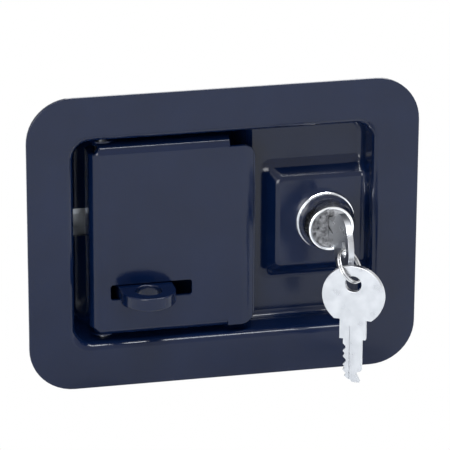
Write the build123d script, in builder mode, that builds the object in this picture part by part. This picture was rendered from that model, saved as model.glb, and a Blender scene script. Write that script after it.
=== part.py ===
"""Flush paddle latch with a key-locked slam bolt, in millimetres.

X runs along the flange, Z is up and Y runs into the panel. The origin is the centre of the
flange's back face, which lies against the panel.
"""

import os
from math import atan, cos, degrees, radians, sin, tan

from build123d import *

# --- Pan: a pressed tray with a flange round it ---
FLANGE_W = 139.7
FLANGE_H = 107.95
FLANGE_R = 16.0
SHEET = 1.5
RIM = 13.5  # flat width of the flange, up to the bend
MOUTH_BEND = 3.0
MOUTH_R = 6.5  # plan radius of the tray's corners
DRAFT = 5.0
FLOOR_FILLET = 2.5
DEEP = 20.0  # depth of the pocket under the paddle, from the flange's front
SHELF = 12.5  # depth of the shelf round the lock
STEP_X = 11.5  # where the shelf drops to the pocket
STEP_SLOPE = 35.0
STEP_BEND = 3.0
PAD_RISE = 4.5
PAD_LEFT = 20.8
PAD_H = 32.6
PAD_SLOPE = 45.0
PAD_BEND = 2.5
PAD_HIP = 2.5
PAD_FILLET = 2.0
PRESSED = 0.02  # radial gap left where a bush is pressed in

# --- Pivot of the paddle ---
PIVOT_X = -42.0
PIVOT_Y = 7.0
PIVOT_D = 4.76
PIVOT_HEAD_D = 8.0
PIVOT_HEAD_T = 1.6
PIN_TAIL = 2.4  # what the pin stands out past the pan's lower wall
GROOVE_D = 3.8
CLIP_T = 0.8
RUNNING = 0.1  # radial clearance of a turning fit
SLACK = 0.3  # clearance beside pieces that slide or are dropped in

# --- Paddle ---
PADDLE_T = 1.5
PADDLE_FACE_Y = -0.5
PADDLE_LEFT = -47.5
PADDLE_LENGTH = 49.5  # length of the part with folded edges
PADDLE_H = 71.2
PADDLE_FOLD = 10.5  # depth of the folded edges
PADDLE_BEND = 3.2  # outside radius of the folds
CORNER_NOTCH = 3.4
LIP_REACH = 9.5
LIP_H = 67.0
LIP_Z = -1.2  # the lip sits a little low on the plate
LIP_R = 5.0
LIP_CURVED = 6.0  # width of the lip's curved edge
LIP_CURL = 1.4  # how far the lip's edge bends back
BUSH_WALL = 0.9
BUSH_COLLAR_R = 4.6
BUSH_COLLAR_T = 0.5

# --- Padlock eye ---
EYE_X = -28.1
EYE_Z = -19.0
EYE_T = 4.7
EYE_W = 19.4
EYE_FRONT_Y = -14.8
EYE_HOLE_D = 9.2
EYE_HOLE_FORWARD = 0.9  # from the round end's centre to the hole's centre
EYE_TENON_W = 12.0
EYE_SLOT_LEFT = -40.5
EYE_SLOT_RIGHT = -11.5
EYE_SLOT_H = 5.6
EYE_SLOT_R = 1.0

# --- Slam bolt, its housing and spring ---
BOLT_TIP_X = -64.0
BOLT_TAIL_X = -28.0
BOLT_H = 16.0
BOLT_T = 9.5
BOLT_BEVEL = 11.0
BOLT_NOSE = 2.0  # flat left at the bevelled tip
POCKET_DEPTH = 7.7
POCKET_H = 7.8
BOLT_TRAVEL = 12.2
ROD_D = 4.4
ROD_END_X = 1.0
ROD_SEAT = 6.0
ROD_GROOVE = 0.5
HOUSING_T = 1.5
HOUSING_LEFT = -47.5
HOUSING_RIGHT = -4.0
FOOT_W = 7.2
RIVET_D = 3.2
RIVET_HEAD_D = 5.6
RIVET_HEAD_T = 1.2
BOLT_WIRE = 0.9
BOLT_COIL_D = 7.0
BOLT_TURNS = 7

# --- Actuator: a forked lever inside the paddle ---
LEVER_TIP_R = 2.0
LEVER_RADIUS = 18.0  # from the pivot to the centre of the round tip
LEVER_HUB_R = 3.6
LEVER_SPAN = 6.8  # outside width across the two arms
LEVER_FOOT_L = 18.0
FLOOR_SLOT_TOP = 6.4
FLOOR_SLOT_BOTTOM = -4.0
FLOOR_SLOT_LEFT = -51.0
FLOOR_SLOT_RIGHT = -29.3

# --- Torsion spring on the pivot ---
COIL_SIDES = 12  # straight runs in each turn of a coil
PADDLE_WIRE = 1.2
PADDLE_COIL_D = 6.4
PADDLE_TURNS = 6
PADDLE_COIL_Z = 10.0

# --- Cam lock ---
LOCK_X = 38.2
BEZEL_D = 21.3
BEZEL_RIM_D = 16.2
BEZEL_H = 9.7
BEZEL_BASE_H = 1.5
BEZEL_GROOVE = 0.5
BEZEL_DOME_R = 16.0
BEZEL_RIM_ROUND = 0.3
LOCK_BODY_D = 19.0
LOCK_FLATS = 16.0
LOCK_BACK_Y = 27.6
PLUG_FACE_D = 14.1
PLUG_FACE_T = 2.0
PLUG_CORE_D = 11.7
PLUG_SINK = 0.4  # how far the plug's face lies behind the bezel's rim
NOTCH = 1.6
WAFER_T = 1.0
WAFER_W = 7.0
WAFER_H = 11.0
WAFER_PITCH = 2.7
WAFER_COUNT = 5
NUT_FLATS = 24.0
NUT_T = 4.0
WASHER_D = 25.0
WASHER_T = 0.8
CAM_LENGTH = 28.0
CAM_W = 14.0
CAM_T = 2.0
CAM_TIP_R = 3.0
CAM_SQUARE = 7.0
CAM_SCREW_D = 4.0
CAM_SCREW_L = 8.0
CAM_SCREW_HEAD_D = 7.5
CAM_SCREW_HEAD_T = 2.4
CAM_WASHER_D = 12.0
SLOT_W = 0.9

# --- Keys and ring ---
BOW_R = 11.0
KEY_HOLE_R = 2.9
KEY_HOLE_EDGE = 6.6  # from the hole's centre to the end of the bow
NECK_W = 9.2
NECK_END = 27.1  # from the end of the bow to the shoulder
BLADE_W = 6.6
KEY_LENGTH = 43.2
KEY_T = 1.9
BOW_T = 2.1
BOW_STEP = 19.8  # from the end of the bow to the step in thickness
BITTING = (0.9, 0.5, 1.1, 0.6, 1.0)  # depths of the cuts
BITTING_PITCH = 2.5
BITTING_START = 3.2
BITTING_FLAT = 0.8
GROOVE_W = 1.1
GROOVE_DEPTH = 0.5
GROOVE_L = 21.0
RING_WIRE = 0.8
RING_TURNS = 2
RING_HANG = 0.6  # how far the ring's diameter is short of the two holes' distance
RING_YAW = 50.0
KEY_STANDOFF = 1.0  # the shoulder's distance from the plug
SPARE_YAW = 27.0  # turn of the hanging key's face to the left
SPARE_DX = 0.5  # from the hole of the key in the lock to the hanging key's hole
SPARE_DY = -8.6
SPARE_DZ = -9.3

# --- Weld studs ---
STUD_D = 5.0
STUD_LENGTH = 12.0
STUD_PITCH_X = 120.6
STUD_PITCH_Z = 89.0


def facing(y):
    """Plane across Y at y, seen from the front. A negative extrusion goes into the panel."""
    return Plane.XZ.offset(-y)


def lean(angle, skin):
    """How far a sloping wall's outside stands off its inside, one skin further back."""
    return skin / cos(radians(angle)) - skin * tan(radians(angle))


# Levels and widths that several pieces share.
mouth_sharp = 2 * (RIM + MOUTH_BEND * tan(radians(45 - DRAFT / 2)))
mouth_w = FLANGE_W - mouth_sharp
mouth_h = FLANGE_H - mouth_sharp
floor_y = DEEP - SHEET
shelf_y = SHELF - SHEET
pad_y = shelf_y - PAD_RISE
pan_back_y = floor_y + SHEET
pad_back_y = pad_y + SHEET
outer_half_h = mouth_h / 2 + lean(DRAFT, SHEET)
pin_seat_z = outer_half_h - (PIVOT_Y - PIVOT_HEAD_D / 2) * tan(radians(DRAFT))
paddle_inner_y = PADDLE_FACE_Y + PADDLE_T
lip_x = PADDLE_LEFT + PADDLE_LENGTH
lip_end_x = lip_x + LIP_REACH
floor_slot_x = (FLOOR_SLOT_LEFT + FLOOR_SLOT_RIGHT) / 2
pocket_left = PIVOT_X - LEVER_TIP_R - BOLT_TRAVEL - SLACK
pocket_right = PIVOT_X + LEVER_TIP_R + RUNNING
bolt_y = pan_back_y + SLACK
bolt_back_y = bolt_y + BOLT_T
rod_y = bolt_y + BOLT_T / 2
housing_inner_y = bolt_back_y + SLACK
housing_inner_h = BOLT_H + 2 * SLACK
housing_outer_h = housing_inner_h + 2 * HOUSING_T
housing_length = HOUSING_RIGHT - HOUSING_LEFT
foot_z = (housing_outer_h + FOOT_W) / 2
rivet_pitch = housing_length - 2 * FOOT_W
rivet_x = (HOUSING_LEFT + HOUSING_RIGHT) / 2
bezel_y = pad_y - BEZEL_H
plug_y = bezel_y + PLUG_SINK
plug_shoulder_y = plug_y + PLUG_FACE_T
cam_y = LOCK_BACK_Y + RUNNING
cam_back_y = cam_y + CAM_T
key_end_y = plug_y - KEY_STANDOFF - NECK_END
key_hole_y = key_end_y + KEY_HOLE_EDGE


def tray(skin):
    """Hollow of the tray, or its outer form when skin is the sheet's thickness."""
    front = -SHEET + skin
    shelf = shelf_y + skin
    pad = pad_y + skin
    spread = lean(DRAFT, skin)
    step = STEP_X + lean(STEP_SLOPE, skin)
    step_run = 2 * DEEP * tan(radians(STEP_SLOPE))
    left = PAD_LEFT + lean(PAD_SLOPE, skin)
    tall = PAD_H - 2 * lean(PAD_SLOPE, skin)
    pad_drop = PAD_RISE + SHEET
    pad_run = pad_drop * tan(radians(PAD_SLOPE))
    with BuildPart() as form:
        with BuildSketch(facing(front)):
            RectangleRounded(mouth_w + 2 * spread, mouth_h + 2 * spread, MOUTH_R + skin)
        extrude(amount=-DEEP, taper=DRAFT)
        with BuildSketch(Plane.XY.offset(-FLANGE_H / 2)):
            with BuildLine():
                Polyline(
                    (step, shelf),
                    (FLANGE_W, shelf),
                    (FLANGE_W, shelf + 2 * DEEP),
                    (step - step_run, shelf + 2 * DEEP),
                    close=True,
                )
            make_face()
        extrude(amount=FLANGE_H, mode=Mode.SUBTRACT)
        with BuildSketch(facing(pad)):
            with Locations((left, 0)):
                Rectangle(FLANGE_W, tall, align=(Align.MIN, Align.CENTER))
        with BuildSketch(facing(pad + pad_drop)):
            with Locations((left - pad_run, 0)):
                Rectangle(
                    FLANGE_W + pad_run, tall + 2 * pad_run, align=(Align.MIN, Align.CENTER)
                )
        loft(ruled=True, mode=Mode.SUBTRACT)
        # Bends that bulge towards the front take the sheet off on their back.
        hips = (
            form.edges()
            .filter_by_position(Axis.Y, pad + 0.1, shelf - 0.1)
            .filter_by_position(Axis.X, left - PAD_RISE, left)
        )
        fillet(hips, PAD_HIP - skin)
        pad_edges = (
            form.edges()
            .filter_by_position(Axis.Y, pad - 0.01, pad + 0.01)
            .filter_by_position(Axis.X, left - 1, LOCK_X + 2 * PAD_BEND)
        )
        fillet(pad_edges, PAD_BEND - skin)
        step_edge = (
            form.edges()
            .filter_by_position(Axis.Y, shelf - 0.01, shelf + 0.01)
            .filter_by_position(Axis.X, step - 0.01, step + 0.01)
        )
        fillet(step_edge, STEP_BEND - skin)
        floor_edges = form.edges().filter_by_position(Axis.Y, front + DEEP - 0.01, front + DEEP + 0.01)
        fillet(floor_edges, FLOOR_FILLET + skin)
        shelf_edges = (
            form.edges()
            .filter_by_position(Axis.Y, shelf - 0.01, shelf + 0.01)
            .filter_by_position(Axis.X, step + 1, FLANGE_W)
        )
        wall_edges = (
            form.edges()
            .filter_by_position(Axis.Y, pad - 0.01, shelf - 0.1)
            .filter_by_position(Axis.X, mouth_w / 2 - SHELF / 4, FLANGE_W)
            .filter_by_position(Axis.Z, -PAD_H / 2 - PAD_RISE, PAD_H / 2 + PAD_RISE)
        )
        fillet(shelf_edges + wall_edges, PAD_FILLET + skin)
    return form.part


def double_d(diameter, flats):
    """Round section with a flat on the left and on the right."""
    with BuildSketch() as section:
        Circle(diameter / 2)
        Rectangle(flats, diameter, mode=Mode.INTERSECT)
    return section.sketch


def coil_points(coil, turns):
    """Points round a coil, the ends of its wire's straight runs."""
    count = COIL_SIDES * turns
    return [coil @ (i / count) for i in range(count + 1)]


def wire(points, diameter):
    """Six-sided wire in straight runs through the points."""
    with BuildPart() as bent:
        with BuildLine() as runs:
            Polyline(*points)
        with BuildSketch(Plane(runs.line @ 0, z_dir=runs.line % 0)):
            RegularPolygon(diameter / 2, 6)
        sweep(transition=Transition.RIGHT)
    return bent.part


def finish(part, name):
    """Label a finished piece and write it."""
    part.label = name
    export_step(part, f"parts/{name}.step")


os.makedirs("parts", exist_ok=True)
hollow = tray(0)
outer_form = tray(SHEET)

with BuildPart() as pan:
    with BuildSketch(facing(-SHEET)):
        RectangleRounded(FLANGE_W, FLANGE_H, FLANGE_R)
    extrude(amount=-SHEET)
    add(outer_form)
    back_bend = (
        pan.edges()
        .filter_by_position(Axis.Y, -0.01, 0.01)
        .filter_by(lambda edge: abs(edge.center().X) < mouth_w / 2 + RIM / 2)
        .filter_by(lambda edge: abs(edge.center().Z) < mouth_h / 2 + RIM / 2)
    )
    fillet(back_bend, MOUTH_BEND - SHEET)
    add(hollow, mode=Mode.SUBTRACT)
    mouth_bend = (
        pan.edges()
        .filter_by_position(Axis.Y, -SHEET - 0.01, -SHEET + 0.01)
        .filter_by(lambda edge: abs(edge.center().X) < mouth_w / 2 + RIM / 2)
        .filter_by(lambda edge: abs(edge.center().Z) < mouth_h / 2 + RIM / 2)
    )
    fillet(mouth_bend, MOUTH_BEND)
    # The lever's slot runs up into the floor's fillet. Then the eye's slot and rivet holes.
    with BuildSketch(facing(floor_y - FLOOR_FILLET)):
        with Locations((floor_slot_x, (FLOOR_SLOT_TOP + FLOOR_SLOT_BOTTOM) / 2)):
            Rectangle(FLOOR_SLOT_RIGHT - FLOOR_SLOT_LEFT, FLOOR_SLOT_TOP - FLOOR_SLOT_BOTTOM)
    extrude(amount=-SHEET - FLOOR_FILLET, mode=Mode.SUBTRACT)
    with BuildSketch(facing(floor_y)):
        with Locations((EYE_X, EYE_Z)):
            Rectangle(EYE_TENON_W + 2 * PRESSED, EYE_T + 2 * PRESSED)
        with Locations((rivet_x, 0)):
            with GridLocations(rivet_pitch, 2 * foot_z, 2, 2):
                Circle(RIVET_D / 2 + PRESSED)
    extrude(amount=-SHEET, mode=Mode.SUBTRACT)
    with BuildSketch(facing(pad_y)):
        with Locations((LOCK_X, 0)):
            add(double_d(LOCK_BODY_D + 2 * RUNNING, LOCK_FLATS + 2 * RUNNING))
    extrude(amount=-SHEET, mode=Mode.SUBTRACT)
    with BuildSketch(Plane.XY.offset(-FLANGE_H / 2)):
        with Locations((PIVOT_X, PIVOT_Y)):
            Circle(PIVOT_D / 2 + RUNNING)
    extrude(amount=FLANGE_H, mode=Mode.SUBTRACT)
finish(pan.part, "pan")

with BuildPart() as padlock_eye:
    with BuildSketch(Plane.XY.offset(EYE_Z - EYE_T / 2)):
        with Locations((EYE_X, EYE_FRONT_Y + EYE_W / 2)):
            Circle(EYE_W / 2)
            Rectangle(
                EYE_W, floor_y - EYE_FRONT_Y - EYE_W / 2, align=(Align.CENTER, Align.MIN)
            )
        with Locations((EYE_X, floor_y)):
            Rectangle(EYE_TENON_W, SHEET, align=(Align.CENTER, Align.MIN))
        with Locations((EYE_X, EYE_FRONT_Y + EYE_W / 2 - EYE_HOLE_FORWARD)):
            Circle(EYE_HOLE_D / 2, mode=Mode.SUBTRACT)
    extrude(amount=EYE_T)
    chamfer(padlock_eye.edges().filter_by(GeomType.CIRCLE), 0.4)
finish(padlock_eye.part, "padlock_eye")

with BuildPart() as mounting_studs:
    with BuildSketch(facing(0)):
        with GridLocations(STUD_PITCH_X, STUD_PITCH_Z, 2, 2):
            Circle(STUD_D / 2)
    extrude(amount=-STUD_LENGTH)
    chamfer(mounting_studs.faces().group_by(Axis.Y)[-1].edges(), 0.6)
finish(mounting_studs.part, "mounting_studs")

# --- Pivot ---
with BuildPart() as pivot_pin:
    with BuildSketch(Plane.XY.offset(pin_seat_z)):
        with Locations((PIVOT_X, PIVOT_Y)):
            Circle(PIVOT_HEAD_D / 2)
    extrude(amount=PIVOT_HEAD_T)
    chamfer(pivot_pin.edges().group_by(Axis.Z)[-1], PIVOT_HEAD_T / 2)
    with BuildSketch(Plane.XY.offset(-pin_seat_z - PIN_TAIL)):
        with Locations((PIVOT_X, PIVOT_Y)):
            Circle(PIVOT_D / 2)
    extrude(amount=2 * pin_seat_z + PIN_TAIL)
    chamfer(pivot_pin.edges().group_by(Axis.Z)[0], 0.4)
    with BuildSketch(Plane.XY.offset(-pin_seat_z)):
        with Locations((PIVOT_X, PIVOT_Y)):
            Circle(PIVOT_D)
            Circle(GROOVE_D / 2, mode=Mode.SUBTRACT)
    extrude(amount=-CLIP_T - RUNNING, mode=Mode.SUBTRACT)
finish(pivot_pin.part, "pivot_pin")

with BuildPart() as pivot_clip:
    with BuildSketch(Plane.XY.offset(-pin_seat_z)):
        with Locations((PIVOT_X, PIVOT_Y)):
            Circle(PIVOT_HEAD_D / 2)
            Circle(GROOVE_D / 2 + PRESSED, mode=Mode.SUBTRACT)
            Rectangle(
                GROOVE_D * 0.8, PIVOT_HEAD_D, align=(Align.CENTER, Align.MIN), mode=Mode.SUBTRACT
            )
    extrude(amount=-CLIP_T)
finish(pivot_clip.part, "pivot_clip")

with BuildPart() as pivot_bushes:
    for side in (-1, 1):
        with BuildSketch(Plane.XY.offset(side * (PADDLE_H / 2 - PADDLE_T))):
            with Locations((PIVOT_X, PIVOT_Y)):
                Circle(PIVOT_D / 2 + RUNNING + BUSH_WALL)
                Circle(PIVOT_D / 2 + RUNNING, mode=Mode.SUBTRACT)
        extrude(amount=side * PADDLE_T)
        with BuildSketch(Plane.XY.offset(side * PADDLE_H / 2)):
            with Locations((PIVOT_X, PIVOT_Y)):
                Circle(BUSH_COLLAR_R)
                Circle(PIVOT_D / 2 + RUNNING, mode=Mode.SUBTRACT)
        extrude(amount=side * BUSH_COLLAR_T)
finish(pivot_bushes.part, "pivot_bushes")

# --- Paddle ---
with BuildPart() as paddle_inside:
    with BuildSketch(facing(paddle_inner_y)):
        with Locations((PADDLE_LEFT + PADDLE_T, 0)):
            Rectangle(
                PADDLE_LENGTH, PADDLE_H - 2 * PADDLE_T, align=(Align.MIN, Align.CENTER)
            )
    extrude(amount=-2 * PADDLE_FOLD)
    inside_bends = paddle_inside.edges().filter_by_position(
        Axis.Y, paddle_inner_y - 0.01, paddle_inner_y + 0.01
    )
    fillet(inside_bends.sort_by(Axis.X)[:3], PADDLE_BEND - PADDLE_T)

lip_arc = 2 * degrees(atan(LIP_CURL / LIP_CURVED))
lip_arc_r = LIP_CURVED / sin(radians(lip_arc))
with BuildPart() as lip:
    with BuildSketch(Plane.XY.offset(LIP_Z - LIP_H / 2)):
        with BuildLine():
            bend_start = (lip_end_x - LIP_CURVED, PADDLE_FACE_Y)
            bend_centre = (lip_end_x - LIP_CURVED, PADDLE_FACE_Y + lip_arc_r)
            front = CenterArc(bend_centre, lip_arc_r, -90, lip_arc)
            back = CenterArc(bend_centre, lip_arc_r - PADDLE_T, -90, lip_arc)
            Line(front @ 1, back @ 1)
            Polyline(back @ 0, (lip_x, paddle_inner_y), (lip_x, PADDLE_FACE_Y), front @ 0)
        make_face()
    extrude(amount=LIP_H)
    with BuildSketch(facing(PADDLE_FACE_Y)):
        with Locations((lip_end_x, LIP_Z)):
            RectangleRounded(4 * LIP_REACH, LIP_H, LIP_R, align=(Align.MAX, Align.CENTER))
    extrude(amount=-PADDLE_FOLD, mode=Mode.INTERSECT)

with BuildPart() as paddle:
    with BuildSketch(facing(PADDLE_FACE_Y)):
        with Locations((PADDLE_LEFT, 0)):
            Rectangle(PADDLE_LENGTH, PADDLE_H, align=(Align.MIN, Align.CENTER))
    extrude(amount=-PADDLE_FOLD)
    for side in (-1, 1):
        with BuildSketch(Plane.XY.offset(side * PADDLE_H / 2)):
            with Locations((PIVOT_X, PIVOT_Y)):
                Circle(PIVOT_X - PADDLE_LEFT)
        extrude(amount=-side * PADDLE_T)
    bends = paddle.edges().filter_by_position(
        Axis.Y, PADDLE_FACE_Y - 0.01, PADDLE_FACE_Y + 0.01
    )
    fillet(bends.sort_by(Axis.X)[:3], PADDLE_BEND)
    add(paddle_inside.part, mode=Mode.SUBTRACT)
    add(lip.part)
    with BuildSketch(facing(PADDLE_FACE_Y)):
        for side in (-1, 1):
            with Locations((PADDLE_LEFT, side * PADDLE_H / 2)):
                Circle(CORNER_NOTCH)
        with Locations(((EYE_SLOT_LEFT + EYE_SLOT_RIGHT) / 2, EYE_Z)):
            RectangleRounded(EYE_SLOT_RIGHT - EYE_SLOT_LEFT, EYE_SLOT_H, EYE_SLOT_R)
    extrude(amount=-PADDLE_FOLD, mode=Mode.SUBTRACT)
    with BuildSketch(Plane.XY.offset(-PADDLE_H / 2)):
        with Locations((PIVOT_X, PIVOT_Y)):
            Circle(PIVOT_D / 2 + RUNNING + BUSH_WALL + PRESSED)
    extrude(amount=PADDLE_H, mode=Mode.SUBTRACT)
finish(paddle.part, "paddle")

with BuildPart() as paddle_actuator:
    with BuildSketch(Plane.XY.offset(-LEVER_SPAN / 2)):
        with Locations((PIVOT_X, PIVOT_Y)):
            Circle(LEVER_HUB_R)
            Rectangle(2 * LEVER_TIP_R, LEVER_RADIUS, align=(Align.CENTER, Align.MIN))
        with Locations((PIVOT_X, PIVOT_Y + LEVER_RADIUS)):
            Circle(LEVER_TIP_R)
        with BuildLine():
            Polyline(
                (PIVOT_X - LEVER_HUB_R, PIVOT_Y),
                (PADDLE_LEFT + PADDLE_BEND + SLACK, paddle_inner_y),
                (PIVOT_X + LEVER_FOOT_L, paddle_inner_y),
                (PIVOT_X + LEVER_FOOT_L, paddle_inner_y + PADDLE_T),
                (PIVOT_X + LEVER_HUB_R, PIVOT_Y),
                close=True,
            )
        make_face()
        with Locations((PIVOT_X, PIVOT_Y)):
            Circle(PIVOT_D / 2 + RUNNING, mode=Mode.SUBTRACT)
    extrude(amount=LEVER_SPAN)
    with BuildSketch(facing(paddle_inner_y + PADDLE_T)):
        with Locations((PIVOT_X, 0)):
            Rectangle(4 * LEVER_FOOT_L, LEVER_SPAN - 2 * PADDLE_T)
    extrude(amount=-2 * LEVER_RADIUS, mode=Mode.SUBTRACT)
finish(paddle_actuator.part, "paddle_actuator")

with BuildPart() as paddle_spring:
    with BuildLine():
        paddle_coil = Helix(
            PADDLE_WIRE + RUNNING,
            PADDLE_TURNS * (PADDLE_WIRE + RUNNING),
            PADDLE_COIL_D / 2,
            center=(PIVOT_X, PIVOT_Y, PADDLE_COIL_Z),
        )
    short_leg = Vector(0, PIVOT_Y - paddle_inner_y - PADDLE_WIRE / 2 - RUNNING, 0)
    long_leg = Vector(0, floor_y - PIVOT_Y - PADDLE_WIRE / 2 - RUNNING, 0)
    turns = coil_points(paddle_coil, PADDLE_TURNS)
    add(wire([turns[0] - short_leg, *turns, turns[-1] + long_leg], PADDLE_WIRE))
finish(paddle_spring.part, "paddle_spring")

# --- Slam bolt ---
with BuildPart() as latch_bolt:
    with BuildSketch(Plane.XY.offset(-BOLT_H / 2)):
        with BuildLine():
            Polyline(
                (BOLT_TAIL_X, bolt_y),
                (BOLT_TIP_X, bolt_y),
                (BOLT_TIP_X, bolt_y + BOLT_NOSE),
                (BOLT_TIP_X + BOLT_BEVEL, bolt_back_y),
                (BOLT_TAIL_X, bolt_back_y),
                close=True,
            )
        make_face()
    extrude(amount=BOLT_H)
    fillet(latch_bolt.edges().filter_by(Axis.Z), 0.8)
    with BuildSketch(facing(bolt_y)):
        with Locations((pocket_left, 0)):
            Rectangle(pocket_right - pocket_left, POCKET_H, align=(Align.MIN, Align.CENTER))
    extrude(amount=-POCKET_DEPTH, mode=Mode.SUBTRACT)
    with BuildSketch(Plane.YZ.offset(BOLT_TAIL_X)):
        with Locations((rod_y, 0)):
            Circle(ROD_D / 2 + PRESSED)
    extrude(amount=-ROD_SEAT, mode=Mode.SUBTRACT)
finish(latch_bolt.part, "latch_bolt")

with BuildPart() as bolt_rod:
    with BuildSketch(Plane.YZ.offset(BOLT_TAIL_X - ROD_SEAT)):
        with Locations((rod_y, 0)):
            Circle(ROD_D / 2)
    extrude(amount=ROD_END_X - BOLT_TAIL_X + ROD_SEAT)
    chamfer(bolt_rod.edges().group_by(Axis.X)[-1], 0.4)
    with BuildSketch(Plane.YZ.offset(HOUSING_RIGHT + RUNNING)):
        with Locations((rod_y, 0)):
            Circle(ROD_D)
            Circle(ROD_D / 2 - ROD_GROOVE, mode=Mode.SUBTRACT)
    extrude(amount=CLIP_T + RUNNING, mode=Mode.SUBTRACT)
finish(bolt_rod.part, "bolt_rod")

with BuildPart() as rod_clip:
    with BuildSketch(Plane.YZ.offset(HOUSING_RIGHT + RUNNING)):
        with Locations((rod_y, 0)):
            Circle(ROD_D)
            Circle(ROD_D / 2 - ROD_GROOVE + PRESSED, mode=Mode.SUBTRACT)
            Rectangle(
                ROD_D, 0.8 * ROD_D, align=(Align.MIN, Align.CENTER), mode=Mode.SUBTRACT
            )
    extrude(amount=CLIP_T)
finish(rod_clip.part, "rod_clip")

with BuildPart() as bolt_spring:
    spring_length = HOUSING_RIGHT - HOUSING_T - BOLT_TAIL_X - BOLT_WIRE - 2 * RUNNING
    with BuildLine():
        bolt_coil = Helix(
            spring_length / BOLT_TURNS,
            spring_length,
            BOLT_COIL_D / 2,
            center=(BOLT_TAIL_X + BOLT_WIRE / 2 + RUNNING, rod_y, 0),
            direction=(1, 0, 0),
        )
    add(wire(coil_points(bolt_coil, BOLT_TURNS), BOLT_WIRE))
finish(bolt_spring.part, "bolt_spring")

with BuildPart() as bolt_housing:
    with BuildSketch(Plane.YZ.offset(HOUSING_LEFT)):
        with Locations((pan_back_y, 0)):
            Rectangle(
                housing_inner_y + HOUSING_T - pan_back_y,
                housing_outer_h,
                align=(Align.MIN, Align.CENTER),
            )
            Rectangle(
                housing_inner_y - pan_back_y,
                housing_inner_h,
                align=(Align.MIN, Align.CENTER),
                mode=Mode.SUBTRACT,
            )
        for side in (-1, 1):
            with Locations((pan_back_y + HOUSING_T / 2, side * foot_z)):
                Rectangle(HOUSING_T, FOOT_W)
    extrude(amount=housing_length)
    outer_bends = bolt_housing.edges().filter_by(Axis.X).filter_by_position(
        Axis.Y, housing_inner_y + HOUSING_T - 0.01, housing_inner_y + HOUSING_T + 0.01
    )
    fillet(outer_bends, HOUSING_T)
    with BuildSketch(Plane.YZ.offset(HOUSING_RIGHT)):
        with Locations((pan_back_y + SLACK, 0)):
            Rectangle(
                housing_inner_y - pan_back_y, BOLT_H, align=(Align.MIN, Align.CENTER)
            )
        with Locations((rod_y, 0)):
            Circle(ROD_D / 2 + SLACK, mode=Mode.SUBTRACT)
    extrude(amount=-HOUSING_T)
    foot_corners = (
        bolt_housing.edges()
        .filter_by(Axis.Y)
        .filter_by(lambda edge: abs(edge.center().Z) > foot_z)
    )
    fillet(foot_corners, FOOT_W / 3)
    with BuildSketch(facing(pan_back_y)):
        with Locations((rivet_x, 0)):
            with GridLocations(rivet_pitch, 2 * foot_z, 2, 2):
                Circle(RIVET_D / 2 + PRESSED)
    extrude(amount=-HOUSING_T, mode=Mode.SUBTRACT)
finish(bolt_housing.part, "bolt_housing")

with BuildPart() as housing_rivets:
    for head_y, rise in ((floor_y, RIVET_HEAD_T), (pan_back_y + HOUSING_T, -RIVET_HEAD_T)):
        with BuildSketch(facing(head_y)):
            with Locations((rivet_x, 0)):
                with GridLocations(rivet_pitch, 2 * foot_z, 2, 2):
                    Circle(RIVET_HEAD_D / 2)
        extrude(amount=rise)
    rims = housing_rivets.edges().filter_by(GeomType.CIRCLE).group_by(Axis.Y)
    chamfer(rims[0] + rims[-1], RIVET_HEAD_T / 2)
    with BuildSketch(facing(floor_y)):
        with Locations((rivet_x, 0)):
            with GridLocations(rivet_pitch, 2 * foot_z, 2, 2):
                Circle(RIVET_D / 2)
    extrude(amount=-SHEET - HOUSING_T)
finish(housing_rivets.part, "housing_rivets")

# --- Cam lock ---
lock_axis = Axis((LOCK_X, 0, 0), (0, 1, 0))
with BuildPart() as lock_body:
    with BuildSketch():
        with BuildLine():
            base_top = pad_y - BEZEL_BASE_H
            dome_start = (LOCK_X + BEZEL_D / 2 - BEZEL_GROOVE, base_top - BEZEL_GROOVE)
            dome_end = (LOCK_X + BEZEL_RIM_D / 2, bezel_y)
            Polyline(
                dome_end,
                (LOCK_X + PLUG_FACE_D / 2 + RUNNING, bezel_y),
                (LOCK_X + PLUG_FACE_D / 2 + RUNNING, plug_shoulder_y + RUNNING),
                (LOCK_X + PLUG_CORE_D / 2 + RUNNING, plug_shoulder_y + RUNNING),
                (LOCK_X + PLUG_CORE_D / 2 + RUNNING, pad_y),
                (LOCK_X + BEZEL_D / 2, pad_y),
                (LOCK_X + BEZEL_D / 2, base_top + BEZEL_GROOVE / 2),
                (LOCK_X + BEZEL_D / 2 - BEZEL_GROOVE / 2, base_top),
                (LOCK_X + BEZEL_D / 2 - 2 * BEZEL_GROOVE, base_top),
                (LOCK_X + BEZEL_D / 2 - 2 * BEZEL_GROOVE, base_top - BEZEL_GROOVE),
                dome_start,
            )
            RadiusArc(dome_start, dome_end, -BEZEL_DOME_R)
        make_face()
    revolve(axis=lock_axis)
    chamfer(lock_body.edges().group_by(Axis.Y)[0], BEZEL_RIM_ROUND)
    with BuildSketch(facing(pad_y)):
        with Locations((LOCK_X, 0)):
            add(double_d(LOCK_BODY_D, LOCK_FLATS))
            Circle(PLUG_CORE_D / 2 + RUNNING, mode=Mode.SUBTRACT)
    extrude(amount=pad_y - LOCK_BACK_Y)
finish(lock_body.part, "lock_body")

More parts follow.
